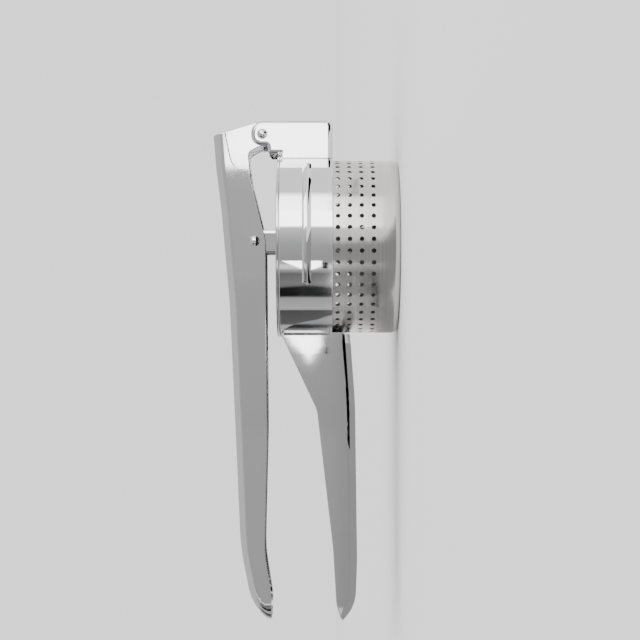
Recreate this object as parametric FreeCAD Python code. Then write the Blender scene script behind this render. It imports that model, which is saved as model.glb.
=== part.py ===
"""Lever-type potato ricer in stainless and chromed sheet steel.

Millimetres.  +Z is the basket's axis, pointing up out of its mouth; +X runs to the handle tips;
+Y is the direction of the hinge pins.  The origin is the centre of the basket's flat bottom.
Each piece is a separate solid, written to parts/NAME.step.
"""
import FreeCAD, Part
import math
import os

V = FreeCAD.Vector

# ---- basket: a deep-drawn perforated cup that hangs in the ring by its rolled rim
BASKET_R = 45.3
BASKET_SHEET = 0.6
BASKET_CORNER_R = 3.0
SIDE_HOLE_D = 2.4
SIDE_HOLE_COUNT = 48
SIDE_HOLE_PITCH = 6.0
SIDE_HOLE_ROWS = 4
SIDE_HOLE_TURN = 2.5           # degrees from +X to the first column
SIDE_HOLE_GAP = 2.4            # from the top row's centre down from the ring's lower edge
FLOOR_HOLE_D = 2.4
FLOOR_HOLE_PITCH = 4.75
FLOOR_MARGIN = 2.5             # plain floor between the last hole circle and the corner
RIM_WIDTH = 2.1
RIM_THICK = 1.5

# ---- ring band that carries the basket
RING_SHEET = 1.2
RING_LOW = 34.1
RING_TOP = 61.4
BASKET_CLEAR = 1.1             # radial play of the basket in the ring
BEAD_HEIGHT = 0.7
BEAD_WIDTH = 4.5
BEAD_Z = 47.4
BEAD_FROM = 66.5               # degrees from +X where the bead starts, and where it stops
BEAD_TO = 150.0

# ---- hinge: pin, ears and their places
SHEET = 1.2                    # lever, bracket and lower handle
LIP_R = 0.4                    # cut edges of the sheet are broken to this radius
PIN_R = 1.8
PIN_CLEAR = 0.05               # running clearance on a pin
HEAD_R = 2.7
HEAD_HEIGHT = 1.5
HINGE_OUT = 10.4               # hinge axis outside the ring
HINGE_UP = 9.3                 # hinge axis above the ring's top edge
LOBE_R = 6.2
EAR_GAP = 0.35                 # between a bracket ear and the lever's side
BRACKET_OUT = 7.0              # bracket's back face outside the hinge axis
BRACKET_BACK_TOP = 57.0        # the back stops here so that the lever's end can swing
BRACKET_BEND_R = 3.0

# ---- lever (upper handle), a channel open downwards
LEVER_HALF = 15.0              # half width beside the basket
LEVER_GRIP_HALF = 12.5
LEVER_TIP = 196.0
LEVER_BEND_R = 5.0
JOGGLE = 1.4                   # each side is set in by this much at the hinge
LEVER_WIDE_TO = 20.0           # lever starts to narrow here
PLUNGER_BACK = 2.3             # plunger pin behind the basket's axis
PLUNGER_UP = 13.3              # plunger pin above the ring's top edge

# ---- lower handle, a channel open upwards, welded to the ring
LOWER_HALF = 14.6
LOWER_GRIP_HALF = 12.0
LOWER_TIP = 198.0
LOWER_BEND_R = 4.5
TIP_FLAT = 3.0                 # straight stretch between the two round corners of a handle's tip
SADDLE_HALF = 18.5             # weld flange that follows the ring
SADDLE_MARGIN = 1.9            # ring edge to weld flange
SADDLE_SILL = 5.0              # height of the flange below the channel's mouth
HANDLE_WIDE_TO = 52.0          # lower handle starts to narrow here
GRIP_FROM = 97.0               # both handles reach their grip width here

# ---- plunger: strap, plate and rivets
STRAP_SHEET = 1.5
STRAP_CLEAR = 1.1              # strap to the inside of the lever
STRAP_TOP_WIDTH = 14.0
STRAP_FOOT_WIDTH = 22.0
STRAP_BEND_R = 3.0
PLATE_DROP = 72.0              # plate's underside below the plunger pin
PLATE_SHEET = 1.2
PLATE_CLEAR = 4.2              # plate's radius is less than the basket's inside by this much
PLATE_BACK = 3.6               # plate's centre behind the basket's axis
PLATE_BOSS_R = 16.0
PLATE_BOSS_RISE = 0.8
RIVET_R = 1.6
RIVET_HEAD_R = 3.0
RIVET_HEAD_HEIGHT = 1.2
RIVET_SPAN = 12.0

# ---- worked out from the sizes above
RING_IN = BASKET_R + BASKET_CLEAR
RING_R = RING_IN + RING_SHEET
RIM_TOP = RING_TOP + RIM_THICK
HINGE = (-RING_R - HINGE_OUT, RING_TOP + HINGE_UP)
PLUNGER_PIN = (-PLUNGER_BACK, RING_TOP + PLUNGER_UP)
LEVER_EAR_HALF = LEVER_HALF - JOGGLE
EAR_IN = LEVER_EAR_HALF + EAR_GAP
EAR_OUT = EAR_IN + SHEET
BRACKET_BACK = HINGE[0] - BRACKET_OUT
STRAP_HALF = LEVER_HALF - SHEET - STRAP_CLEAR
PLATE_R = BASKET_R - BASKET_SHEET - PLATE_CLEAR
PLATE_LOW = PLUNGER_PIN[1] - PLATE_DROP
LEVER_GRIP_Z = RING_TOP + 6.6       # the lever's free edge along the grip
LOWER_GRIP_Z = RING_LOW - 12.9      # the lower handle's back along the grip
FAR = 400.0


# ---------------------------------------------------------------- outlines
def rounded_wire(corners, place):
    """Closed wire through corners (a, b, radius), put in space by place(a, b)."""
    count = len(corners)
    starts = []
    ends = []
    mids = []
    for i in range(count):
        before = corners[i - 1]
        here = corners[i]
        after = corners[(i + 1) % count]
        radius = here[2] if len(here) > 2 else 0.0
        p = V(here[0], here[1], 0)
        to_before = (V(before[0], before[1], 0) - p).normalize()
        to_after = (V(after[0], after[1], 0) - p).normalize()
        in_line = to_before.cross(to_after).Length < 1e-9
        if radius <= 0 or in_line:
            starts.append(p)
            ends.append(p)
            mids.append(None)
            continue
        half = to_before.getAngle(to_after) / 2
        reach = radius / math.tan(half)
        centre = p + (to_before + to_after).normalize() * (radius / math.sin(half))
        starts.append(p + to_before * reach)
        ends.append(p + to_after * reach)
        mids.append(centre + (p - centre).normalize() * radius)
    edges = []
    for i in range(count):
        if mids[i] is not None:
            arc = Part.Arc(place(starts[i].x, starts[i].y), place(mids[i].x, mids[i].y),
                           place(ends[i].x, ends[i].y))
            edges.append(arc.toShape())
        after = starts[(i + 1) % count]
        if (after - ends[i]).Length > 1e-6:
            edges.append(Part.makeLine(place(ends[i].x, ends[i].y), place(after.x, after.y)))
    return Part.Wire(edges)


def grown(corners, grow):
    """The same outline moved outwards by grow (inwards if negative), its round corners kept concentric."""
    count = len(corners)
    area = sum(corners[i - 1][0] * corners[i][1] - corners[i][0] * corners[i - 1][1] for i in range(count))
    turn = 1 if area > 0 else -1
    result = []
    for i in range(count):
        here = V(corners[i][0], corners[i][1], 0)
        back = (here - V(corners[i - 1][0], corners[i - 1][1], 0)).normalize()
        after = corners[(i + 1) % count]
        ahead = (V(after[0], after[1], 0) - here).normalize()
        out_back = V(back.y, -back.x, 0) * turn
        out_ahead = V(ahead.y, -ahead.x, 0) * turn
        moved = here + (out_back + out_ahead) * (grow / (1 + out_back.dot(out_ahead)))
        convex = back.cross(ahead).z * turn > 0
        radius = corners[i][2] if len(corners[i]) > 2 else 0.0
        if radius > 0:
            radius = max(radius + (grow if convex else -grow), 0.1)
        result.append((moved.x, moved.y, radius))
    return result


def side_prism(corners, y_low, y_high, grow=0.0):
    """Prism across Y from an outline in X and Z; grow moves the outline outwards."""
    wire = rounded_wire(grown(corners, grow), lambda a, b: V(a, y_low, b))
    return Part.Face(wire).extrude(V(0, y_high - y_low, 0))


def plan_prism(corners, z_low, z_high, grow=0.0):
    """Prism up Z from an outline in X and Y; grow moves the outline outwards."""
    wire = rounded_wire(grown(corners, grow), lambda a, b: V(a, b, z_low))
    return Part.Face(wire).extrude(V(0, 0, z_high - z_low))


def both_sides(y_low, y_high):
    """The same span of Y on each side of the middle plane."""
    return [(y_low, y_high), (-y_high, -y_low)]


def cylinder_y(centre, radius, half):
    """Cylinder along Y about centre (x, z), reaching half each way."""
    return Part.makeCylinder(radius, 2 * half, V(centre[0], -half, centre[1]), V(0, 1, 0))


def revolved(corners):
    """Solid of revolution about Z from an outline in radius and Z."""
    wire = rounded_wire(corners, lambda a, b: V(a, 0, b))
    return Part.Face(wire).revolve(V(0, 0, 0), V(0, 0, 1), 360)


def bent_edges(solid, z_face):
    """Edges where an upright side wall meets the back of a channel (z_face +1 up, -1 down)."""
    found = []
    for edge in solid.Edges:
        faces = solid.ancestorsOfType(edge, Part.Face)
        walls = 0
        backs = 0
        for face in faces:
            u0, u1, v0, v1 = face.ParameterRange
            normal = face.normalAt((u0 + u1) / 2, (v0 + v1) / 2)
            if abs(normal.z) < 1e-6:
                walls += 1
            if normal.z * z_face > 0.1 and abs(normal.y) < 1e-6:
                backs += 1
        if walls == 1 and backs == 1 and edge.BoundBox.XMax > solid.BoundBox.XMin + 1:
            found.append(edge)
    return found


def handle_plan(start, wide_to, tip, half, grip_half):
    """Plan outline of a handle: wide, then narrowing to the grip, with a rounded tip."""
    tip_r = grip_half - TIP_FLAT / 2
    right = [(start, -half), (wide_to, -half, 150), (GRIP_FROM, -grip_half, 150), (tip, -grip_half, tip_r)]
    left = [(corner[0], -corner[1]) + corner[2:] for corner in reversed(right)]
    return right + left


def channel(side, plan, z_face, bend_r, inset):
    """Block bounded by a side outline and a plan outline, its long edges rounded."""
    block = side_prism(side, -LEVER_HALF * 2, LEVER_HALF * 2, -inset)
    block = block.common(plan_prism(plan, -FAR, FAR, -inset))
    return block.makeFillet(bend_r - inset, bent_edges(block, z_face))


def broken_edges(sheet):
    """The bent sheet with its sharp cut edges rounded; edges of pin holes stay sharp."""
    sharp = []
    for edge in sheet.Edges:
        faces = sheet.ancestorsOfType(edge, Part.Face)
        if len(faces) != 2 or edge.Length < LIP_R / 10:
            continue
        if isinstance(edge.Curve, Part.Circle) and abs(edge.Curve.Radius - PIN_R) < 2 * PIN_CLEAR:
            continue
        middle = edge.valueAt((edge.FirstParameter + edge.LastParameter) / 2)
        normals = [face.normalAt(*face.Surface.parameter(middle)) for face in faces]
        if 75 < math.degrees(normals[0].getAngle(normals[1])) < 105:
            sharp.append(edge)
    return sheet.makeFillet(LIP_R, sharp)


# ---------------------------------------------------------------- basket
def basket():
    inside = BASKET_R - BASKET_SHEET
    rim_r = BASKET_R + RIM_WIDTH
    outer = revolved([(0, 0), (BASKET_R, 0, BASKET_CORNER_R), (BASKET_R, RING_TOP),
                      (rim_r, RING_TOP, RIM_THICK / 3), (rim_r, RIM_TOP, RIM_THICK / 3), (0, RIM_TOP)])
    hollow = revolved([(0, BASKET_SHEET), (inside, BASKET_SHEET, BASKET_CORNER_R - BASKET_SHEET),
                       (inside, RIM_TOP + 1), (0, RIM_TOP + 1)])
    cup = outer.cut(hollow)
    drills = []
    top_row = RING_LOW - SIDE_HOLE_GAP
    for row in range(SIDE_HOLE_ROWS):
        for i in range(SIDE_HOLE_COUNT):
            angle = math.radians(SIDE_HOLE_TURN + 360 * i / SIDE_HOLE_COUNT)
            out = V(math.cos(angle), math.sin(angle), 0)
            start = out * (inside - 1) + V(0, 0, top_row - row * SIDE_HOLE_PITCH)
            drills.append(Part.makeCylinder(SIDE_HOLE_D / 2, BASKET_SHEET + 2, start, out))
    rings = int((BASKET_R - BASKET_CORNER_R - FLOOR_MARGIN) / FLOOR_HOLE_PITCH)
    for ring in range(1, rings + 1):
        count = 6 * ring
        for i in range(count):
            angle = 2 * math.pi * i / count
            start = V(math.cos(angle), math.sin(angle), 0) * (ring * FLOOR_HOLE_PITCH) - V(0, 0, 1)
            drills.append(Part.makeCylinder(FLOOR_HOLE_D / 2, BASKET_SHEET + 2, start))
    return cup.cut(Part.makeCompound(drills))


# ---------------------------------------------------------------- ring and what is welded to it
def bead(inset):
    """Pressed rib on both sides of the ring, with round ends; inset gives its hollow inside."""
    circle_r = (BEAD_HEIGHT ** 2 + (BEAD_WIDTH / 2) ** 2) / (2 * BEAD_HEIGHT)
    middle = RING_R + BEAD_HEIGHT - circle_r
    section = Part.Face(Part.Wire(Part.makeCircle(circle_r - inset, V(middle, 0, BEAD_Z), V(0, 1, 0))))
    pieces = []
    for side in (1, -1):
        arc = section.rotated(V(0, 0, 0), V(0, 0, 1), side * BEAD_FROM)
        pieces.append(arc.revolve(V(0, 0, 0), V(0, 0, 1), side * (BEAD_TO - BEAD_FROM)))
        for degrees in (BEAD_FROM, BEAD_TO):
            angle = math.radians(side * degrees)
            end = V(middle * math.cos(angle), middle * math.sin(angle), BEAD_Z)
            pieces.append(Part.makeSphere(circle_r - inset, end))
    return pieces


def ring_band():
    height = RING_TOP - RING_LOW
    outer = Part.makeCylinder(RING_R, height, V(0, 0, RING_LOW))
    outer = outer.fuse(bead(0.0))
    inner = Part.makeCylinder(RING_IN, height + 2, V(0, 0, RING_LOW - 1))
    inner = inner.fuse(bead(RING_SHEET))
    return broken_edges(outer.cut(inner).removeSplitter())


def hinge_bracket():
    """Pan of sheet: a back, a floor and two ears that reach up to the hinge pin."""
    back = BRACKET_BACK
    hx, hz = HINGE
    toe = hx + LOBE_R
    outline = [(back, RING_LOW, BRACKET_BEND_R), (back, hz + LOBE_R, LOBE_R + 0.5),
               (toe + 0.3, hz + LOBE_R, LOBE_R - 0.2), (toe + 0.3, hz - 2.4, 0.8),
               (toe + 4.6, hz - 2.4, 2.5), (toe + 4.6, RING_TOP - 1), (0, RING_TOP - 1), (0, RING_LOW)]
    block = side_prism(outline, -EAR_OUT, EAR_OUT)
    upright = [e for e in block.Edges
               if abs(e.Vertexes[0].X - back) < 1e-4 and abs(e.Vertexes[-1].X - back) < 1e-4
               and abs(e.Vertexes[0].Z - e.Vertexes[-1].Z) > 1]
    floor = [e for e in block.Edges
             if abs(e.Vertexes[0].Z - RING_LOW) < 1e-4 and abs(e.Vertexes[-1].Z - RING_LOW) < 1e-4
             and abs(e.Vertexes[0].X - e.Vertexes[-1].X) > 1]
    corner = [e for e in block.Edges
              if e.BoundBox.ZMax < RING_LOW + BRACKET_BEND_R + 1e-3 and e.BoundBox.XMax < back + BRACKET_BEND_R + 1e-3
              and e.BoundBox.YLength < 1e-3]
    edges = {e.hashCode(): e for e in upright + floor + corner}
    block = block.makeFillet(BRACKET_BEND_R - 0.4, list(edges.values()))
    hollow = Part.makeBox(FAR, 2 * EAR_IN, FAR, V(back + SHEET, -EAR_IN, RING_LOW + SHEET))
    upright_in = [e for e in hollow.Edges
                  if abs(e.CenterOfMass.x - back - SHEET) < 1e-4 or abs(e.CenterOfMass.z - RING_LOW - SHEET) < 1e-4]
    hollow = hollow.makeFillet(BRACKET_BEND_R - 0.4 - SHEET, upright_in)
    window = Part.makeBox(BRACKET_BEND_R + 10, 2 * EAR_IN, FAR, V(back - 10, -EAR_IN, BRACKET_BACK_TOP))
    pan = block.cut(hollow).cut(window)
    pan = pan.cut(Part.makeCylinder(RING_R, FAR, V(0, 0, 0)))
    return broken_edges(pan.cut(cylinder_y(HINGE, PIN_R, EAR_OUT + 1)))


def lower_handle():
    """Channel open upwards, closed at its tip, with a flange that is welded round the ring."""
    z = LOWER_GRIP_Z
    side = [(0, z + 7.3), (RING_R + 34, z + 1.1, 300), (LOWER_TIP - 33, z, 150), (LOWER_TIP - 11, z + 0.9, 20),
            (LOWER_TIP + 8, z + 14.0), (LOWER_TIP + 8, FAR / 4), (0, FAR / 4)]
    plan = handle_plan(0, HANDLE_WIDE_TO, LOWER_TIP, LOWER_HALF, LOWER_GRIP_HALF)
    outer = channel(side, plan, -1, LOWER_BEND_R, 0.0)
    inner = channel(side, plan, -1, LOWER_BEND_R, SHEET)
    edge = [(RING_R - 20, RING_TOP + 8.0), (RING_R + 38, z + 21.1, 14), (LOWER_TIP - 40, z + 12.7, 120),
            (LOWER_TIP - 11, z + 11.0, 20), (LOWER_TIP + 2, z + 6.8), (LOWER_TIP + 2, -20), (RING_R - 20, -20)]
    trough = broken_edges(outer.cut(inner).common(side_prism(edge, -FAR / 4, FAR / 4)))
    saddle_low = RING_LOW + SADDLE_MARGIN
    saddle_height = RING_TOP - RING_LOW - 2 * SADDLE_MARGIN
    saddle = Part.makeCylinder(RING_R + SHEET, saddle_height, V(0, 0, saddle_low))
    saddle = saddle.common(Part.makeBox(FAR, 2 * SADDLE_HALF, FAR, V(0, -SADDLE_HALF, 0)))
    mouth = Part.makeBox(FAR, 2 * (LOWER_HALF - SHEET), FAR,
                         V(0, -(LOWER_HALF - SHEET), saddle_low + SADDLE_SILL))
    saddle = saddle.cut(mouth)
    body = trough.fuse(saddle)
    return body.cut(Part.makeCylinder(RING_R, FAR, V(0, 0, 0))).removeSplitter()


# ---------------------------------------------------------------- pins
def riveted_pin(centre, half):
    """Pin through both sides with a domed head at each end, half being half the grip length."""
    pin = cylinder_y(centre, PIN_R, half + 0.2)
    ball_r = (HEAD_HEIGHT ** 2 + HEAD_R ** 2) / (2 * HEAD_HEIGHT)
    heads = []
    for side in (1, -1):
        ball = Part.makeSphere(ball_r, V(centre[0], side * (half + HEAD_HEIGHT - ball_r), centre[1]))
        low = half if side > 0 else -half - HEAD_HEIGHT
        slab = Part.makeBox(4 * HEAD_R, HEAD_HEIGHT, 4 * HEAD_R,
                            V(centre[0] - 2 * HEAD_R, low, centre[1] - 2 * HEAD_R))
        heads.append(ball.common(slab))
    return pin.fuse(heads).removeSplitter()


# ---------------------------------------------------------------- lever
def lever():
    z = LEVER_GRIP_Z
    hx, hz = HINGE
    px, pz = PLUNGER_PIN
    side = [(hx - 90, hz + 33), (hx + 18, hz + 24.1, 80), (hx + 38, hz + 21.6, 150), (30, z + 19.8, 300),
            (LEVER_TIP - 38, z + 14.2, 120), (LEVER_TIP - 12, z + 9.0, 25), (LEVER_TIP + 6, z - 3.6),
            (LEVER_TIP + 6, -20), (hx - 90, -20)]
    plan = handle_plan(-FAR / 2, LEVER_WIDE_TO, LEVER_TIP, LEVER_HALF, LEVER_GRIP_HALF)
    outer = channel(side, plan, 1, LEVER_BEND_R, 0.0)
    inner = channel(side, plan, 1, LEVER_BEND_R, SHEET)
    step = [(hx - 40, hz - 40), (hx - 40, hz + 19.9), (hx, hz + 19.3, 20), (hx + 14, hz + 16.3, 4),
            (hx + 17.8, hz + 13.7, 3), (hx + 17.8, hz - 40)]
    for low, high in both_sides(LEVER_EAR_HALF, LEVER_HALF * 2):
        outer = outer.cut(side_prism(step, low, high))
    for low, high in both_sides(LEVER_EAR_HALF - SHEET, LEVER_HALF * 2):
        inner = inner.cut(side_prism(step, low, high, SHEET))
    r = LOBE_R - 0.2
    outline = [(hx + 0.8, FAR / 4), (hx + 0.8, hz + 25.6), (hx - r, hz + 3.0, 10), (hx - r, hz - r, r - 0.05),
               (hx + r, hz - r, r - 0.05), (hx + r + 0.6, hz + 2, 2), (hx + 9.7, hz + 7.5, 3),
               (hx + 24, hz + 5.9, 25), (px - 0.7, z + 0.9, 18), (GRIP_FROM, z, 300),
               (LEVER_TIP - 36, z + 1.5, 80), (LEVER_TIP - 12, z - 2.3, 15), (LEVER_TIP + 4, z - 2.1),
               (LEVER_TIP + 4, FAR / 4)]
    body = outer.cut(inner).common(side_prism(outline, -FAR / 4, FAR / 4))
    body = body.cut(cylinder_y(HINGE, PIN_R + PIN_CLEAR, LEVER_HALF * 2))
    return broken_edges(body.cut(cylinder_y(PLUNGER_PIN, PIN_R, LEVER_HALF * 2)))


# ---------------------------------------------------------------- plunger
def plunger_strap():
    """Bent strap: two ears up to the plunger pin and a foot that is riveted to the plate."""
    px, pz = PLUNGER_PIN
    foot = PLATE_LOW + PLATE_SHEET + PLATE_BOSS_RISE
    top = STRAP_TOP_WIDTH / 2
    wide = STRAP_FOOT_WIDTH / 2
    ear = [(-PLATE_BACK - wide, foot, 2), (px - top, foot + 30, 20), (px - top, pz + top, top - 0.05),
           (px + top, pz + top, top - 0.05), (px + top, foot + 30, 20), (-PLATE_BACK + wide, foot, 2)]
    block = side_prism(ear, -STRAP_HALF, STRAP_HALF)
    low = [e for e in block.Edges if e.BoundBox.ZMax < foot + 1e-3 and e.BoundBox.XLength > wide]
    block = block.makeFillet(STRAP_BEND_R, low)
    inside = STRAP_HALF - STRAP_SHEET
    hollow = Part.makeBox(FAR, 2 * inside, FAR, V(-FAR / 2, -inside, foot + STRAP_SHEET))
    low = [e for e in hollow.Edges if abs(e.CenterOfMass.z - foot - STRAP_SHEET) < 1e-3
           and e.BoundBox.XLength > wide]
    hollow = hollow.makeFillet(STRAP_BEND_R - STRAP_SHEET, low)
    strap = broken_edges(block.cut(hollow))
    strap = strap.cut(cylinder_y(PLUNGER_PIN, PIN_R + PIN_CLEAR, LEVER_HALF))
    for x in rivet_places():
        strap = strap.cut(Part.makeCylinder(RIVET_R, FAR, V(x, 0, 0)))
    return strap


def rivet_places():
    """X of the two rivets that hold the strap to the plate."""
    return [-PLATE_BACK - RIVET_SPAN / 2, -PLATE_BACK + RIVET_SPAN / 2]


def press_plate():
    """Round plate with a raised seat for the strap."""
    z = PLATE_LOW
    t = PLATE_SHEET
    rise = PLATE_BOSS_RISE
    boss = PLATE_BOSS_R
    outline = [(0, z + rise), (boss - 1, z + rise, 1), (boss + 1, z, 1), (PLATE_R, z, 0.5),
               (PLATE_R, z + t, 0.5), (boss + 1.4, z + t, 1), (boss - 0.6, z + t + rise, 1), (0, z + t + rise)]
    plate = revolved(outline)
    plate.translate(V(-PLATE_BACK, 0, 0))
    for x in rivet_places():
        plate = plate.cut(Part.makeCylinder(RIVET_R, FAR, V(x, 0, 0)))
    return plate


def plate_rivets():
    """Two rivets, each with a low domed head above the strap's foot and below the plate."""
    low = PLATE_LOW + PLATE_BOSS_RISE
    high = low + PLATE_SHEET + STRAP_SHEET
    ball_r = (RIVET_HEAD_HEIGHT ** 2 + RIVET_HEAD_R ** 2) / (2 * RIVET_HEAD_HEIGHT)
    rivets = []
    for x in rivet_places():
        shank = Part.makeCylinder(RIVET_R, high - low, V(x, 0, low))
        top = Part.makeSphere(ball_r, V(x, 0, high + RIVET_HEAD_HEIGHT - ball_r))
        top = top.common(Part.makeBox(20, 20, RIVET_HEAD_HEIGHT, V(x - 10, -10, high)))
        bottom = Part.makeSphere(ball_r, V(x, 0, low - RIVET_HEAD_HEIGHT + ball_r))
        bottom = bottom.common(Part.makeBox(20, 20, RIVET_HEAD_HEIGHT, V(x - 10, -10, low - RIVET_HEAD_HEIGHT)))
        rivets.append(shank.fuse([top, bottom]).removeSplitter())
    return Part.makeCompound(rivets)


# ---------------------------------------------------------------- all pieces
PIECES = {
    "basket": basket,
    "ring_band": ring_band,
    "hinge_bracket": hinge_bracket,
    "lower_handle": lower_handle,
    "hinge_pin": lambda: riveted_pin(HINGE, EAR_OUT),
    "lever": lever,
    "plunger_pin": lambda: riveted_pin(PLUNGER_PIN, LEVER_HALF),
    "plunger_strap": plunger_strap,
    "press_plate": press_plate,
    "plate_rivets": plate_rivets,
}

os.makedirs("parts", exist_ok=True)
for name, make in PIECES.items():
    shape = make()
    shape.exportStep("parts/" + name + ".step")
    print(name, "solids", len(shape.Solids), "valid", shape.isValid(), "volume %.0f" % shape.Volume)
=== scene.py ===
"""Looks of the potato ricer, laid out as an add-on: one operator for each group of pieces."""

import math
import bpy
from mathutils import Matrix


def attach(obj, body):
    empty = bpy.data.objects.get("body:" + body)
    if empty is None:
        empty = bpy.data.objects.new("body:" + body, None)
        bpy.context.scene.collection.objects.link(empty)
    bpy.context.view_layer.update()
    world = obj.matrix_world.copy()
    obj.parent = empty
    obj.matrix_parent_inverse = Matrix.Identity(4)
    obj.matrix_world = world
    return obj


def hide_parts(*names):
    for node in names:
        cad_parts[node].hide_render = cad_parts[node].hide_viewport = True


bl_info = {
    "name": "Potato ricer",
    "version": (1, 0, 0),
    "blender": (4, 5, 0),
    "location": "3D View > Sidebar > Ricer",
    "description": "Builds the pieces, finishes and studio of a lever-type potato ricer",
    "category": "Object",
}

import bmesh
import bpy
from bpy.props import FloatProperty, FloatVectorProperty, IntProperty, PointerProperty
from mathutils import Matrix

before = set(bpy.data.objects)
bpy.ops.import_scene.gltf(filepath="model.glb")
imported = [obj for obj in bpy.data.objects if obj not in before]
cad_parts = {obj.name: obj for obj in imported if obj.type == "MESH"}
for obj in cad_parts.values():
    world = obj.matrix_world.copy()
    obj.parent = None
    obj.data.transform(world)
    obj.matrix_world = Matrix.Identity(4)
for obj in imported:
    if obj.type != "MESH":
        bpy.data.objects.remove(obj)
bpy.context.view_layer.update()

# Noise values that are stretched to the ends of a span
NOISE_LOW = 0.3
NOISE_HIGH = 0.7

# Chrome plate: haze from handling, hairlines, slow tint and the waviness of pressed sheet
BAND_NODES = ("ring_band", "hinge_bracket", "hinge_pin", "plunger_pin", "plate_rivets")
HANDLE_NODES = ("lever", "lower_handle", "plunger_strap", "press_plate")
BAND_GLOSS = 0.6
HAZE_SCALE = 55.0
HAZE_LOW = 0.75
HAZE_HIGH = 1.35
HAIR_SCALE = (90.0, 2600.0, 2600.0)
HAIR_LOW = 0.8
HAIR_HIGH = 1.5
PLATE_TINT_SCALE = 30.0
PLATE_TINT = 0.965
WAVE_SCALE = 26.0
WAVE_STRENGTH = 0.35
WAVE_DEPTH = 0.00012

# Brushed steel: fine lines round the basket's axis and broader bands of tint
LINE_SCALE = (60.0, 60.0, 5200.0)
LINE_LOW = 0.8
LINE_HIGH = 1.25
LINE_STRENGTH = 0.25
LINE_DEPTH = 0.00004
STEEL_TINT_SCALE = (18.0, 18.0, 900.0)
STEEL_TINT = 0.88
STRETCH = 0.5
STRETCH_TURN = 0.25
INSIDE_ROUGH = 0.42

# Pierced sheet: points round a hole, and where they fall on a patch's straight edge
HOLE_STEPS = 16
EIGHTH = math.tan(math.pi / 8)
EDGE_PARTS = (-1, -EIGHTH, 0, EIGHTH)
HOLES_PER_CIRCLE = 6
FLOOR_SEAM = 0.00015
SEAM_FIND = 0.00002
MERGE = 0.000004
ARC_STEPS = 8
SHARP = math.radians(32)
LEVEL = 0.5

# Weld button, foot first: what its width is divided by, and how much of its rise it stands out
BUTTON_PROFILE = ((2, -0.5), (2.3, 0.5), (5, 0.9))
BUTTON_STEPS = 12
WELD_ROUGH = 2

# Light of the studio's walls by direction: degrees from +Y towards +X, and radiance
WALLS = ((-180, 0.6), (-150, 0.9), (-120, 1.3), (-70, 1.3), (-62, 5.0), (-24, 6.0), (-22, 0.95),
         (-8, 0.62), (0, 0.50), (22, 0.40), (25, 1.2), (29, 1.2), (31, 0.5), (36, 0.16), (48, 0.24),
         (54, 0.20), (56, 0.01), (67, 0.01), (70, 0.45), (88, 0.60), (90, 0.10), (118, 0.14),
         (120, 0.5), (150, 0.9), (179, 0.6))
WALL_POWER = 6.0
ROOF = 0.70
ROOF_START = 0.45
ROOF_FULL = 0.80
BACKDROP = 1.46
FLOOR_PAINT = (0.86, 0.86, 0.86, 1)
FLOOR_ROUGH = 0.9
FLOOR_SHINE = 0.1

# Cards that stand: distance along +Y, then two (x, z) corners
HINGE_CARD = (0.15, (-0.115, 0.030), (-0.054, 0.099))
SHOULDER_FLAG = (0.149, (0.051, 0.0362), (0.072, 0.0394))

# Cards that lie: height, then two (x, y) corners
TABLE_CARD = (0.0008, (-0.02, 0.05), (0.9, 3.0))
SIDE_CARD = (0.0006, (0.05, -0.30), (0.9, 0.05))
HANDLE_FLAG = (0.010, (0.045, 0.032), (0.108, 0.13))
HINGE_FLAG = (0.020, (-0.12, 0.022), (-0.062, 0.080))

# Card with a slanting end, corner by corner
SHOULDER_CARD = ((0.0465, 0.15, 0.0400), (0.0632, 0.15, 0.0400), (0.0805, 0.15, 0.0475),
                 (0.0465, 0.15, 0.0625))

BRIGHT = 6.0
TABLE_LIGHT = 0.36
SIDE_LIGHT = 0.38
DARK = 0.0

# Camera: where it looks, and its turn, with the handle tips at the foot of the view
VIEW_X = 0.0386
VIEW_Z = 0.0407
VIEW_TURN = Matrix(((0, -1, 0), (0, 0, 1), (-1, 0, 0)))
SENSOR_WIDTH = 36.0


# ---------------------------------------------------------------- settings
class RicerFinish(bpy.types.PropertyGroup):
    """Colours and roughness of the metal finishes."""

    chrome_colour: FloatVectorProperty(name="Chrome", description="Colour of the chrome plate",
                                       subtype="COLOR", size=3, min=0, max=1, default=(0.80, 0.80, 0.81))
    chrome_rough: FloatProperty(name="Chrome roughness", default=0.07, min=0, max=1,
                                description="How soft the reflections in the chrome are")
    steel_colour: FloatVectorProperty(name="Steel", description="Colour of the brushed basket steel",
                                      subtype="COLOR", size=3, min=0, max=1, default=(0.68, 0.655, 0.63))
    # Inside of the basket: a duller steel, darkened further by painted shade
    shaded_inside_colour: FloatVectorProperty(name="Inside", subtype="COLOR", size=3, min=0, max=1,
                                       description="Colour of the duller steel inside the basket",
                                       default=(0.24, 0.235, 0.23))
    steel_rough: FloatProperty(name="Steel roughness", default=0.14, min=0, max=1,
                               description="How soft the reflections in the basket are")


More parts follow.
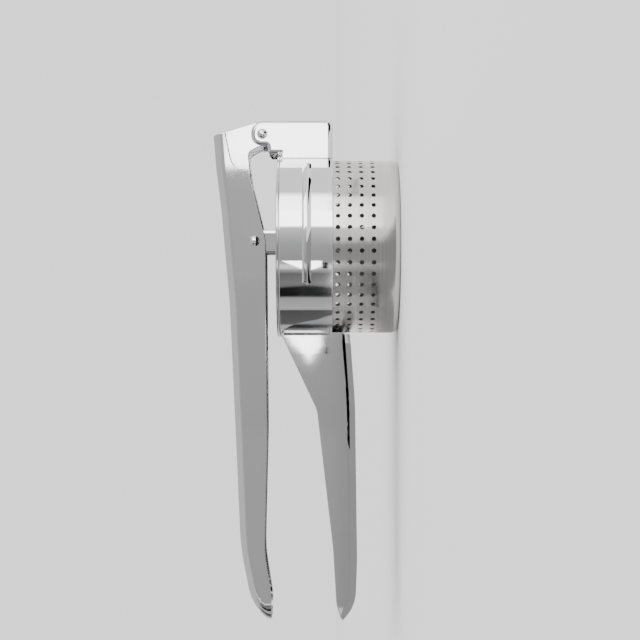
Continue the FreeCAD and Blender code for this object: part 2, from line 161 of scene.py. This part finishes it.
class RicerBasket(bpy.types.PropertyGroup):
    """Sizes of the drawn and pierced basket."""

    radius: FloatProperty(name="Radius", description="Outside of the wall", default=0.0453, unit="LENGTH")
    sheet: FloatProperty(name="Sheet", description="Thickness of the wall", default=0.0006, unit="LENGTH")
    corner: FloatProperty(name="Corner", description="Outside radius from wall to floor", default=0.003,
                          unit="LENGTH")
    hole: FloatProperty(name="Hole", description="Width of a hole", default=0.0024, unit="LENGTH")
    columns: IntProperty(name="Columns", description="Holes round the wall", default=48, min=8)
    rows: IntProperty(name="Rows", description="Rows of holes in the wall", default=4, min=1)
    row_pitch: FloatProperty(name="Row pitch", description="From one row to the next", default=0.006,
                             unit="LENGTH")
    top_row: FloatProperty(name="Top row", description="Height of the upper row", default=0.0317,
                           unit="LENGTH")
    turn: FloatProperty(name="Turn", description="Angle of the first column", default=math.radians(2.5),
                        subtype="ANGLE")
    circles: IntProperty(name="Floor circles", description="Circles of holes in the floor", default=8,
                         min=1)
    circle_pitch: FloatProperty(name="Circle pitch", description="From one circle to the next",
                                default=0.00475, unit="LENGTH")
    rim_low: FloatProperty(name="Rim height", description="Underside of the rim", default=0.0614,
                           unit="LENGTH")
    rim_width: FloatProperty(name="Rim width", description="How far the rim stands out", default=0.0021,
                             unit="LENGTH")
    rim_thick: FloatProperty(name="Rim thickness", description="Height of the rim", default=0.0015,
                             unit="LENGTH")


class RicerWelds(bpy.types.PropertyGroup):
    """Sizes of the spot welds that hold the lower handle's flange to the ring."""

    width: FloatProperty(name="Width", description="Across one weld", default=0.0022, unit="LENGTH")
    rise: FloatProperty(name="Rise", description="Height of the weld's button", default=0.00022,
                        unit="LENGTH")
    radius: FloatProperty(name="Radius", description="From the basket's axis to the flange",
                          default=0.0488, unit="LENGTH")
    turn: FloatProperty(name="Turn", description="Angle from the handle to each column",
                        default=math.radians(19.8), subtype="ANGLE")
    count: IntProperty(name="Count", description="Welds in a column", default=3, min=1)
    pitch: FloatProperty(name="Pitch", description="From one weld to the next", default=0.007,
                         unit="LENGTH")
    top: FloatProperty(name="Top", description="Height of the upper weld", default=0.0548, unit="LENGTH")


class RicerStudio(bpy.types.PropertyGroup):
    """Camera and light sizes."""

    camera_distance: FloatProperty(name="Camera distance", description="From the object's middle plane",
                                   default=0.82, min=0.2, unit="LENGTH")
    camera_lens: FloatProperty(name="Lens", description="Focal length", default=87.3, min=20,
                               subtype="DISTANCE_CAMERA")
    lamp_power: FloatProperty(name="Lamp", description="Power of the soft light overhead",
                              default=260.0, min=0, unit="POWER")
    lamp_size: FloatProperty(name="Lamp size", description="Width of the soft light", default=8.0,
                             min=0.1, unit="LENGTH")
    lamp_height: FloatProperty(name="Lamp height", description="Soft light above the floor",
                               default=3.0, min=0.5, unit="LENGTH")
    floor_size: FloatProperty(name="Floor", description="Width of the floor", default=6.0, min=1,
                              unit="LENGTH")


# ---------------------------------------------------------------- shared helpers
def place(name, mesh):
    """An object of that name in the scene for the mesh."""
    piece = bpy.data.objects.new(name, mesh)
    bpy.context.scene.collection.objects.link(piece)
    return piece


def plain_mesh(bm, name):
    """The edited mesh written out under that name."""
    mesh = bpy.data.meshes.new(name)
    bm.to_mesh(mesh)
    bm.free()
    return mesh


def add_node(tree, kind, **settings):
    """A new node of the tree with its settings."""
    node = tree.nodes.new(kind)
    for key, value in settings.items():
        setattr(node, key, value)
    return node


# ---------------------------------------------------------------- finishes
class Nodes:
    """A material's node tree with short calls for adding nodes and links."""

    def __init__(self, name):
        self.material = bpy.data.materials.new(name)
        self.material.use_nodes = True
        self.tree = self.material.node_tree
        self.tree.nodes.clear()
        self.shader = self.add("ShaderNodeBsdfPrincipled")
        output = self.add("ShaderNodeOutputMaterial")
        self.link(self.shader.outputs["BSDF"], output.inputs["Surface"])
        self.coords = self.add("ShaderNodeTexCoord").outputs["Object"]

    def add(self, kind, **settings):
        return add_node(self.tree, kind, **settings)

    def link(self, source, target):
        self.tree.links.new(source, target)

    def mapped(self, scale):
        """Object coordinates stretched by a scale for each axis."""
        node = self.add("ShaderNodeMapping")
        node.inputs["Scale"].default_value = scale
        self.link(self.coords, node.inputs["Vector"])
        return node.outputs["Vector"]

    def noise(self, scale, vector=None, detail=3.0, rough=0.5):
        """Noise over the object, or over stretched coordinates."""
        node = self.add("ShaderNodeTexNoise")
        node.inputs["Scale"].default_value = scale
        node.inputs["Detail"].default_value = detail
        node.inputs["Roughness"].default_value = rough
        self.link(vector or self.coords, node.inputs["Vector"])
        return node.outputs["Fac"]

    def span(self, source, low, high):
        """Noise stretched to run from low to high."""
        node = self.add("ShaderNodeMapRange")
        node.inputs["From Min"].default_value = NOISE_LOW
        node.inputs["From Max"].default_value = NOISE_HIGH
        node.inputs["To Min"].default_value = low
        node.inputs["To Max"].default_value = high
        self.link(source, node.inputs["Value"])
        return node.outputs["Result"]

    def bump(self, height, strength, distance):
        """Relief of the surface that follows a height."""
        node = self.add("ShaderNodeBump")
        node.inputs["Strength"].default_value = strength
        node.inputs["Distance"].default_value = distance
        self.link(height, node.inputs["Height"])
        self.link(node.outputs["Normal"], self.shader.inputs["Normal"])

    def tint(self, factor, colour, share):
        """Base colour that varies between the colour and a darker share of it."""
        node = self.add("ShaderNodeMix", data_type="RGBA")
        node.inputs["A"].default_value = (*(c * share for c in colour), 1)
        node.inputs["B"].default_value = (*colour, 1)
        self.link(factor, node.inputs["Factor"])
        self.link(node.outputs["Result"], self.shader.inputs["Base Color"])


def chrome_material(name, colour, rough):
    """Plated sheet: mirror-like, with faint waviness of the pressed steel and a trace of handling haze."""
    n = Nodes(name)
    n.shader.inputs["Metallic"].default_value = 1.0
    haze = n.noise(HAZE_SCALE, detail=4.0)
    hairs = n.noise(1.0, n.mapped(HAIR_SCALE), detail=3.0, rough=0.6)
    wear = n.add("ShaderNodeMath", operation="MULTIPLY")
    n.link(n.span(haze, rough * HAZE_LOW, rough * HAZE_HIGH), wear.inputs[0])
    n.link(n.span(hairs, HAIR_LOW, HAIR_HIGH), wear.inputs[1])
    n.link(wear.outputs["Value"], n.shader.inputs["Roughness"])
    n.tint(n.span(n.noise(PLATE_TINT_SCALE), 0.0, 1.0), colour, PLATE_TINT)
    n.bump(n.noise(WAVE_SCALE, detail=1.0), WAVE_STRENGTH, WAVE_DEPTH)
    return n.material


def brushed_material(name, colour, rough):
    """Stainless steel brushed round the basket's axis."""
    n = Nodes(name)
    n.shader.inputs["Metallic"].default_value = 1.0
    n.shader.inputs["Anisotropic"].default_value = STRETCH
    n.shader.inputs["Anisotropic Rotation"].default_value = STRETCH_TURN
    fine = n.noise(1.0, n.mapped(LINE_SCALE), detail=4.0, rough=0.65)
    broad = n.noise(1.0, n.mapped(STEEL_TINT_SCALE), detail=3.0)
    n.link(n.span(fine, rough * LINE_LOW, rough * LINE_HIGH), n.shader.inputs["Roughness"])
    n.tint(n.span(broad, 0.0, 1.0), colour, STEEL_TINT)
    n.bump(fine, LINE_STRENGTH, LINE_DEPTH)
    return n.material


def give(obj, material):
    """Puts one material in every slot of a piece."""
    obj.data.materials.clear()
    obj.data.materials.append(material)


# ---------------------------------------------------------------- pierced sheet
def polar(radius, angle, height):
    """Point at that radius and angle round the basket's axis."""
    return (radius * math.cos(angle), radius * math.sin(angle), height)


def join_loops(bm, loops):
    """Faces between each closed loop of vertices and the next."""
    for low, high in zip(loops, loops[1:]):
        for i in range(len(low)):
            j = (i + 1) % len(low)
            bm.faces.new((low[i], low[j], high[j], high[i]))


def pierced_cell(name, edge_at, hole_at, sheet):
    """A patch of sheet with a round hole; edge_at and hole_at place points of its edge and its hole."""
    turns = [2 * math.pi * step / HOLE_STEPS for step in range(HOLE_STEPS)]
    circle = [(math.cos(turn), math.sin(turn)) for turn in turns]
    square = [(x / max(abs(x), abs(y)), y / max(abs(x), abs(y))) for x, y in circle]
    outlines = ((square, edge_at, 0), (circle, hole_at, 0), (circle, hole_at, sheet),
                (square, edge_at, sheet))
    bm = bmesh.new()
    loops = []
    for outline, spot_at, depth in outlines:
        loops.append([bm.verts.new(spot_at(x, y, depth)) for x, y in outline])
    join_loops(bm, loops)
    return place(name, plain_mesh(bm, name))


def round_pattern():
    """Node tree that repeats a cell round the axis and in rows below each other."""
    tree = bpy.data.node_groups.new("round_pattern", "GeometryNodeTree")
    inputs = (("Cell", "Geometry"), ("Columns", "Int"), ("Rows", "Int"), ("Row pitch", "Float"),
              ("Turn", "Float"), ("Finish", "Material"))
    for name, kind in inputs:
        tree.interface.new_socket(name, in_out="INPUT", socket_type="NodeSocket" + kind)
    tree.interface.new_socket("Sheet", in_out="OUTPUT", socket_type="NodeSocketGeometry")
    given = tree.nodes.new("NodeGroupInput").outputs
    made = tree.nodes.new("NodeGroupOutput").inputs

    def maths(operation, a, b=None):
        node = add_node(tree, "ShaderNodeMath", operation=operation)
        for socket, value in zip(node.inputs, (a, b)):
            if isinstance(value, (int, float)):
                socket.default_value = value
            elif value is not None:
                tree.links.new(value, socket)
        return node.outputs[0]

    index = tree.nodes.new("GeometryNodeInputIndex").outputs[0]
    row = maths("FLOOR", maths("DIVIDE", maths("ADD", index, 0.5), given["Columns"]))
    column = maths("SUBTRACT", index, maths("MULTIPLY", row, given["Columns"]))
    drop = maths("MULTIPLY", maths("MULTIPLY", row, given["Row pitch"]), -1.0)
    step = maths("DIVIDE", 2 * math.pi, given["Columns"])
    angle = maths("ADD", maths("MULTIPLY", column, step), given["Turn"])
    line = tree.nodes.new("GeometryNodeMeshLine")
    line.inputs["Offset"].default_value = (0, 0, 0)
    tree.links.new(maths("MULTIPLY", given["Columns"], given["Rows"]), line.inputs["Count"])
    spot = tree.nodes.new("ShaderNodeCombineXYZ")
    tree.links.new(drop, spot.inputs["Z"])
    spread = tree.nodes.new("GeometryNodeSetPosition")
    tree.links.new(line.outputs["Mesh"], spread.inputs["Geometry"])
    tree.links.new(spot.outputs["Vector"], spread.inputs["Position"])
    spin = tree.nodes.new("ShaderNodeCombineXYZ")
    tree.links.new(angle, spin.inputs["Z"])
    turned = tree.nodes.new("FunctionNodeEulerToRotation")
    tree.links.new(spin.outputs["Vector"], turned.inputs["Euler"])
    repeat = tree.nodes.new("GeometryNodeInstanceOnPoints")
    tree.links.new(spread.outputs["Geometry"], repeat.inputs["Points"])
    tree.links.new(given["Cell"], repeat.inputs["Instance"])
    tree.links.new(turned.outputs["Rotation"], repeat.inputs["Rotation"])
    real = tree.nodes.new("GeometryNodeRealizeInstances")
    tree.links.new(repeat.outputs["Instances"], real.inputs["Geometry"])
    finish = tree.nodes.new("GeometryNodeSetMaterial")
    tree.links.new(real.outputs["Geometry"], finish.inputs["Geometry"])
    tree.links.new(given["Finish"], finish.inputs["Material"])
    tree.links.new(finish.outputs["Geometry"], made["Sheet"])
    return tree


def repeated(cell, tree, values):
    """Plain mesh of the cell repeated by the tree; the cell itself is removed."""
    modifier = cell.modifiers.new("pattern", "NODES")
    modifier.node_group = tree
    for socket in tree.interface.items_tree:
        if socket.in_out == "INPUT" and socket.name in values:
            modifier[socket.identifier] = values[socket.name]
    shown = cell.evaluated_get(bpy.context.evaluated_depsgraph_get())
    mesh = bpy.data.meshes.new_from_object(shown)
    cell.modifiers.remove(modifier)
    bpy.data.objects.remove(cell)
    return mesh


# ---------------------------------------------------------------- operators
class RICER_OT_finishes(bpy.types.Operator):
    """Give the pressed parts their metal finishes"""

    bl_idname = "ricer.finishes"
    bl_label = "Metal finishes"

    def execute(self, context):
        finish = context.scene.ricer_finish
        colour = tuple(finish.chrome_colour)
        band = chrome_material("band_chrome", colour, finish.chrome_rough * BAND_GLOSS)
        handles = chrome_material("handle_chrome", colour, finish.chrome_rough)
        for nodes, chrome in ((BAND_NODES, band), (HANDLE_NODES, handles)):
            for node in nodes:
                give(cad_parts[node], chrome)
        return {"FINISHED"}


class RICER_OT_basket(bpy.types.Operator):
    """Draw and pierce the basket"""

    bl_idname = "ricer.basket"
    bl_label = "Basket"

    def execute(self, context):
        size = context.scene.ricer_basket
        finish = context.scene.ricer_finish
        steel = brushed_material("basket_steel", tuple(finish.steel_colour), finish.steel_rough)
        tree = round_pattern()
        pierced = [self.wall(size, tree, steel)]
        pierced += [self.floor_circle(size, tree, steel, circle) for circle in range(1, size.circles + 1)]
        bm = bmesh.new()
        for mesh in pierced:
            bm.from_mesh(mesh)
        self.plain_parts(bm, size)
        self.floor_middle(bm, size)
        bmesh.ops.remove_doubles(bm, verts=bm.verts, dist=MERGE)
        self.floor_seams(bm, size)
        bm.normal_update()
        self.choose_finish(bm, size)
        mesh = plain_mesh(bm, "basket_cup")
        mesh.set_sharp_from_angle(angle=SHARP)
        mesh.materials.append(steel)
        # Second slot: the inside of the basket, a duller steel darkened further by painted shade
        mesh.materials.append(brushed_material("basket_inside_shaded", tuple(finish.shaded_inside_colour), INSIDE_ROUGH))
        cup = place("basket_cup", mesh)
        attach(cup, "basket")
        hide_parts("basket")
        return {"FINISHED"}

    def wall(self, size, tree, steel):
        """The pierced rows of the wall."""
        half_step = math.pi / size.columns
        hole_r = size.hole / 2

        def edge_at(x, y, depth):
            return polar(size.radius - depth, x * half_step, size.top_row + y * size.row_pitch / 2)

        def hole_at(x, y, depth):
            return polar(size.radius - depth, hole_r * x / size.radius, size.top_row + hole_r * y)

        cell = pierced_cell("wall_cell", edge_at, hole_at, size.sheet)
        return repeated(cell, tree, {"Columns": size.columns, "Rows": size.rows,
                                     "Row pitch": size.row_pitch, "Turn": size.turn, "Finish": steel})

    def floor_circle(self, size, tree, steel, circle):
        """One pierced circle of the floor."""
        count = HOLES_PER_CIRCLE * circle
        middle = circle * size.circle_pitch
        hole_r = size.hole / 2

        def edge_at(x, y, depth):
            return polar(middle + y * (size.circle_pitch / 2 - FLOOR_SEAM), x * math.pi / count, depth)

        def hole_at(x, y, depth):
            return (middle + hole_r * y, hole_r * x, depth)

        cell = pierced_cell("floor_cell", edge_at, hole_at, size.sheet)
        return repeated(cell, tree, {"Columns": count, "Rows": 1, "Row pitch": 0.0, "Turn": 0.0,
                                     "Finish": steel})

    def plain_parts(self, bm, size):
        """The unpierced edge of the floor, the corner, the wall's top and the rim."""
        step = 2 * math.pi / size.columns
        angles = [size.turn + (column + part / 2) * step
                  for column in range(size.columns) for part in EDGE_PARTS]
        inside = size.radius - size.sheet
        wall_low = size.top_row - (size.rows - 0.5) * size.row_pitch
        wall_high = size.top_row + size.row_pitch / 2
        floor_r = self.seam_radius(size, size.circles)
        centre = size.radius - size.corner
        outer = [(floor_r, 0.0)]
        outer += self.arc(centre, size.corner, size.corner, -90, 0)
        outer += [(size.radius, wall_low)]
        inner = [(inside, wall_low)]
        inner += self.arc(centre, size.corner, size.corner - size.sheet, 0, -90)
        inner += [(floor_r, size.sheet)]
        edge_r = size.rim_thick / 3
        rim_r = size.radius + size.rim_width
        rim_high = size.rim_low + size.rim_thick
        rim = [(size.radius, wall_high), (size.radius, size.rim_low)]
        rim += self.arc(rim_r - edge_r, size.rim_low + edge_r, edge_r, -90, 0)
        rim += self.arc(rim_r - edge_r, rim_high - edge_r, edge_r, 0, 90)
        rim += [(inside + edge_r, rim_high), (inside, rim_high - edge_r), (inside, wall_high)]
        for profile in (outer, inner, rim):
            join_loops(bm, [[bm.verts.new(polar(r, angle, z)) for angle in angles] for r, z in profile])

    def floor_middle(self, bm, size):
        """The unpierced disc in the middle of the floor."""
        radius = size.circle_pitch / 2 + FLOOR_SEAM
        angles = [math.pi / HOLES_PER_CIRCLE * (2 * sector + part)
                  for sector in range(HOLES_PER_CIRCLE) for part in EDGE_PARTS]
        low = [bm.verts.new(polar(radius, angle, 0.0)) for angle in angles]
        high = [bm.verts.new(polar(radius, angle, size.sheet)) for angle in angles]
        bm.faces.new(reversed(low))
        bm.faces.new(high)

    def floor_seams(self, bm, size):
        """Narrow rings of sheet that close the floor between one circle and the next."""
        for circle in range(1, size.circles + 1):
            for level, outward in ((0.0, -1), (size.sheet, 1)):
                edges = self.open_edges(bm, self.seam_radius(size, circle), level)
                for face in bmesh.ops.bridge_loops(bm, edges=edges)["faces"]:
                    face.normal_update()
                    if face.normal.z * outward < 0:
                        face.normal_flip()

    def open_edges(self, bm, radius, level):
        """Open edges on either side of a seam, at one face of the sheet."""
        reach = FLOOR_SEAM + SEAM_FIND
        return [edge for edge in bm.edges if edge.is_boundary and all(
            abs(vert.co.z - level) < SEAM_FIND and abs(vert.co.xy.length - radius) < reach
            for vert in edge.verts)]

    def seam_radius(self, size, circle):
        """Radius halfway from that circle of holes to the next."""
        return (circle + 0.5) * size.circle_pitch

    def choose_finish(self, bm, size):
        """Smooth faces, with the duller, darker finish inside the basket; its darkness is partly painted
        shade.
        """
        middle = size.radius - size.sheet / 2
        for face in bm.faces:
            spot = face.calc_center_median()
            within = spot.xy.length < middle and spot.z < size.rim_low
            face.smooth = True
            face.material_index = 1 if within and (face.normal.z > LEVEL or spot.z > size.corner) else 0

    def arc(self, centre_r, centre_z, radius, start, stop):
        """Points of a profile's round corner, from one angle to another in degrees."""
        points = []
        for i in range(ARC_STEPS + 1):
            angle = math.radians(start + (stop - start) * i / ARC_STEPS)
            points.append((centre_r + radius * math.cos(angle), centre_z + radius * math.sin(angle)))
        return points


class RICER_OT_welds(bpy.types.Operator):
    """Spot weld the lower handle's flange to the ring"""

    bl_idname = "ricer.welds"
    bl_label = "Spot welds"

    def execute(self, context):
        size = context.scene.ricer_welds
        finish = context.scene.ricer_finish
        chrome = chrome_material("weld_chrome", tuple(finish.chrome_colour),
                                 finish.chrome_rough * WELD_ROUGH)
        tree = round_pattern()
        bm = bmesh.new()
        for side in (1, -1):
            values = {"Columns": 1, "Rows": size.count, "Row pitch": size.pitch,
                      "Turn": side * size.turn, "Finish": chrome}
            bm.from_mesh(repeated(self.button(size), tree, values))
        mesh = plain_mesh(bm, "saddle_welds")
        mesh.shade_smooth()
        mesh.materials.append(chrome)
        welds = place("saddle_welds", mesh)
        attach(welds, "frame")
        return {"FINISHED"}

    def button(self, size):
        """A low round button that stands on the flange, with its foot just inside the sheet."""
        turns = [2 * math.pi * step / BUTTON_STEPS for step in range(BUTTON_STEPS)]
        bm = bmesh.new()
        loops = []
        for part, stand in BUTTON_PROFILE:
            r = size.width / part
            out = size.radius + size.rise * stand
            loops.append([bm.verts.new((out, r * math.cos(turn), size.top + r * math.sin(turn)))
                          for turn in turns])
        join_loops(bm, loops)
        bm.faces.new(loops[-1])
        bm.faces.new(reversed(loops[0]))
        return place("weld_button", plain_mesh(bm, "weld_button"))


class RICER_OT_studio(bpy.types.Operator):
    """Set up the floor, the light and the camera"""

    bl_idname = "ricer.studio"
    bl_label = "Studio"

    def execute(self, context):
        studio = context.scene.ricer_studio
        self.floor(studio.floor_size)
        self.sky(context.scene)
        self.lamp(studio)
        self.card("hinge_card", self.standing(*HINGE_CARD), BRIGHT)
        self.card("table_card", self.lying(*TABLE_CARD), TABLE_LIGHT)
        self.card("side_card", self.lying(*SIDE_CARD), SIDE_LIGHT)
        self.card("handle_flag", self.lying(*HANDLE_FLAG), DARK)
        self.card("hinge_flag", self.lying(*HINGE_FLAG), DARK)
        self.card("shoulder_card", SHOULDER_CARD, BRIGHT)
        self.card("shoulder_flag", self.standing(*SHOULDER_FLAG), DARK)
        self.camera(context.scene, studio)
        return {"FINISHED"}

    def floor(self, size):
        """A pale matt floor under the basket."""
        half = size / 2
        mesh = bpy.data.meshes.new("floor")
        mesh.from_pydata(self.lying(0, (-half, -half), (half, half)), [], [(0, 1, 2, 3)])
        floor = place("floor", mesh)
        n = Nodes("floor_paint")
        n.shader.inputs["Base Color"].default_value = FLOOR_PAINT
        n.shader.inputs["Roughness"].default_value = FLOOR_ROUGH
        n.shader.inputs["Specular IOR Level"].default_value = FLOOR_SHINE
        floor.data.materials.append(n.material)

    def sky(self, scene):
        """Soft walls of light round the object; what the lens sees directly is plain and pale."""
        world = bpy.data.worlds.new("studio")
        scene.world = world
        world.use_nodes = True
        tree = world.node_tree
        tree.nodes.clear()
        way = add_node(tree, "ShaderNodeSeparateXYZ")
        tree.links.new(add_node(tree, "ShaderNodeTexCoord").outputs["Generated"], way.inputs["Vector"])
        walls = self.walls(tree, way)
        height = add_node(tree, "ShaderNodeMapRange", interpolation_type="SMOOTHSTEP")
        height.inputs["From Min"].default_value = ROOF_START
        height.inputs["From Max"].default_value = ROOF_FULL
        tree.links.new(way.outputs["Z"], height.inputs["Value"])
        roof = self.light_over(tree, walls, height.outputs["Result"], ROOF)
        seen = add_node(tree, "ShaderNodeLightPath").outputs["Is Camera Ray"]
        plain = self.light_over(tree, roof, seen, BACKDROP)
        background = add_node(tree, "ShaderNodeBackground")
        background.inputs["Strength"].default_value = WALL_POWER
        tree.links.new(plain, background.inputs["Color"])
        output = add_node(tree, "ShaderNodeOutputWorld")
        tree.links.new(background.outputs["Background"], output.inputs["Surface"])

    def walls(self, tree, way):
        """Light of the walls, looked up by the level angle of the direction."""
        angle = add_node(tree, "ShaderNodeMath", operation="ARCTAN2")
        tree.links.new(way.outputs["X"], angle.inputs[0])
        tree.links.new(way.outputs["Y"], angle.inputs[1])
        part = add_node(tree, "ShaderNodeMapRange")
        part.inputs["From Min"].default_value = -math.pi
        part.inputs["From Max"].default_value = math.pi
        tree.links.new(angle.outputs["Value"], part.inputs["Value"])
        walls = add_node(tree, "ShaderNodeValToRGB")
        stops = walls.color_ramp.elements
        while len(stops) > 1:
            stops.remove(stops[-1])
        for i, (degrees, light) in enumerate(WALLS):
            position = (degrees + 180) / 360
            stop = stops[0] if i == 0 else stops.new(position)
            stop.position = position
            stop.color = self.share(light)
        tree.links.new(part.outputs["Result"], walls.inputs["Fac"])
        return walls.outputs["Color"]

    def light_over(self, tree, under, factor, light):
        """An even light laid over another by a factor."""
        node = add_node(tree, "ShaderNodeMix", data_type="RGBA")
        node.inputs["B"].default_value = self.share(light)
        tree.links.new(factor, node.inputs["Factor"])
        tree.links.new(under, node.inputs["A"])
        return node.outputs["Result"]

    def share(self, light):
        """Grey that gives that light at the walls' full power."""
        return (light / WALL_POWER, light / WALL_POWER, light / WALL_POWER, 1)

    def lamp(self, studio):
        """A broad light overhead for the floor; the metal mirrors the walls, not this light."""
        data = bpy.data.lights.new("overhead", "AREA")
        data.energy = studio.lamp_power
        data.size = studio.lamp_size
        lamp = place("overhead", data)
        lamp.location = (0, 0, studio.lamp_height)
        lamp.visible_glossy = False
        lamp.visible_camera = False

    def card(self, name, corners, light):
        """A flat card that only shows in the metal: white ones are small soft lights, black ones flags."""
        mesh = bpy.data.meshes.new(name)
        mesh.from_pydata(corners, [], [(0, 1, 2, 3)])
        card = place(name, mesh)
        material = bpy.data.materials.new(name)
        material.use_nodes = True
        tree = material.node_tree
        tree.nodes.clear()
        glow = add_node(tree, "ShaderNodeEmission")
        glow.inputs["Strength"].default_value = light
        output = add_node(tree, "ShaderNodeOutputMaterial")
        tree.links.new(glow.outputs["Emission"], output.inputs["Surface"])
        mesh.materials.append(material)
        card.visible_camera = False
        card.visible_diffuse = False
        card.visible_shadow = False

    def standing(self, y, low, high):
        """Corners of a card that stands across +Y; low and high are its (x, z) corners."""
        return [(low[0], y, low[1]), (high[0], y, low[1]), (high[0], y, high[1]), (low[0], y, high[1])]

    def lying(self, z, low, high):
        """Corners of a card that lies level; low and high are its (x, y) corners."""
        return [(low[0], low[1], z), (high[0], low[1], z), (high[0], high[1], z), (low[0], high[1], z)]

    def camera(self, scene, studio):
        """The camera, square to the ricer's side."""
        data = bpy.data.cameras.new("camera")
        data.lens = studio.camera_lens
        data.sensor_width = SENSOR_WIDTH
        camera = place("camera", data)
        spot = Matrix.Translation((VIEW_X, studio.camera_distance, VIEW_Z))
        camera.matrix_world = spot @ VIEW_TURN.to_4x4()
        scene.camera = camera


class RICER_PT_panel(bpy.types.Panel):
    """Lists the build steps"""

    bl_idname = "RICER_PT_panel"
    bl_label = "Ricer"
    bl_space_type = "VIEW_3D"
    bl_region_type = "UI"
    bl_category = "Ricer"

    def draw(self, context):
        for operator in OPERATORS:
            self.layout.operator(operator.bl_idname)


GROUPS = {"ricer_finish": RicerFinish, "ricer_basket": RicerBasket, "ricer_welds": RicerWelds,
          "ricer_studio": RicerStudio}
OPERATORS = (RICER_OT_finishes, RICER_OT_basket, RICER_OT_welds, RICER_OT_studio)
CLASSES = (*GROUPS.values(), *OPERATORS, RICER_PT_panel)


def register():
    for kind in CLASSES:
        bpy.utils.register_class(kind)
    for name, group in GROUPS.items():
        setattr(bpy.types.Scene, name, PointerProperty(type=group))


def unregister():
    for name in GROUPS:
        delattr(bpy.types.Scene, name)
    for kind in reversed(CLASSES):
        bpy.utils.unregister_class(kind)


def main():
    register()
    bpy.ops.ricer.finishes()
    bpy.ops.ricer.basket()
    bpy.ops.ricer.welds()
    bpy.ops.ricer.studio()


if __name__ == "__main__":
    main()
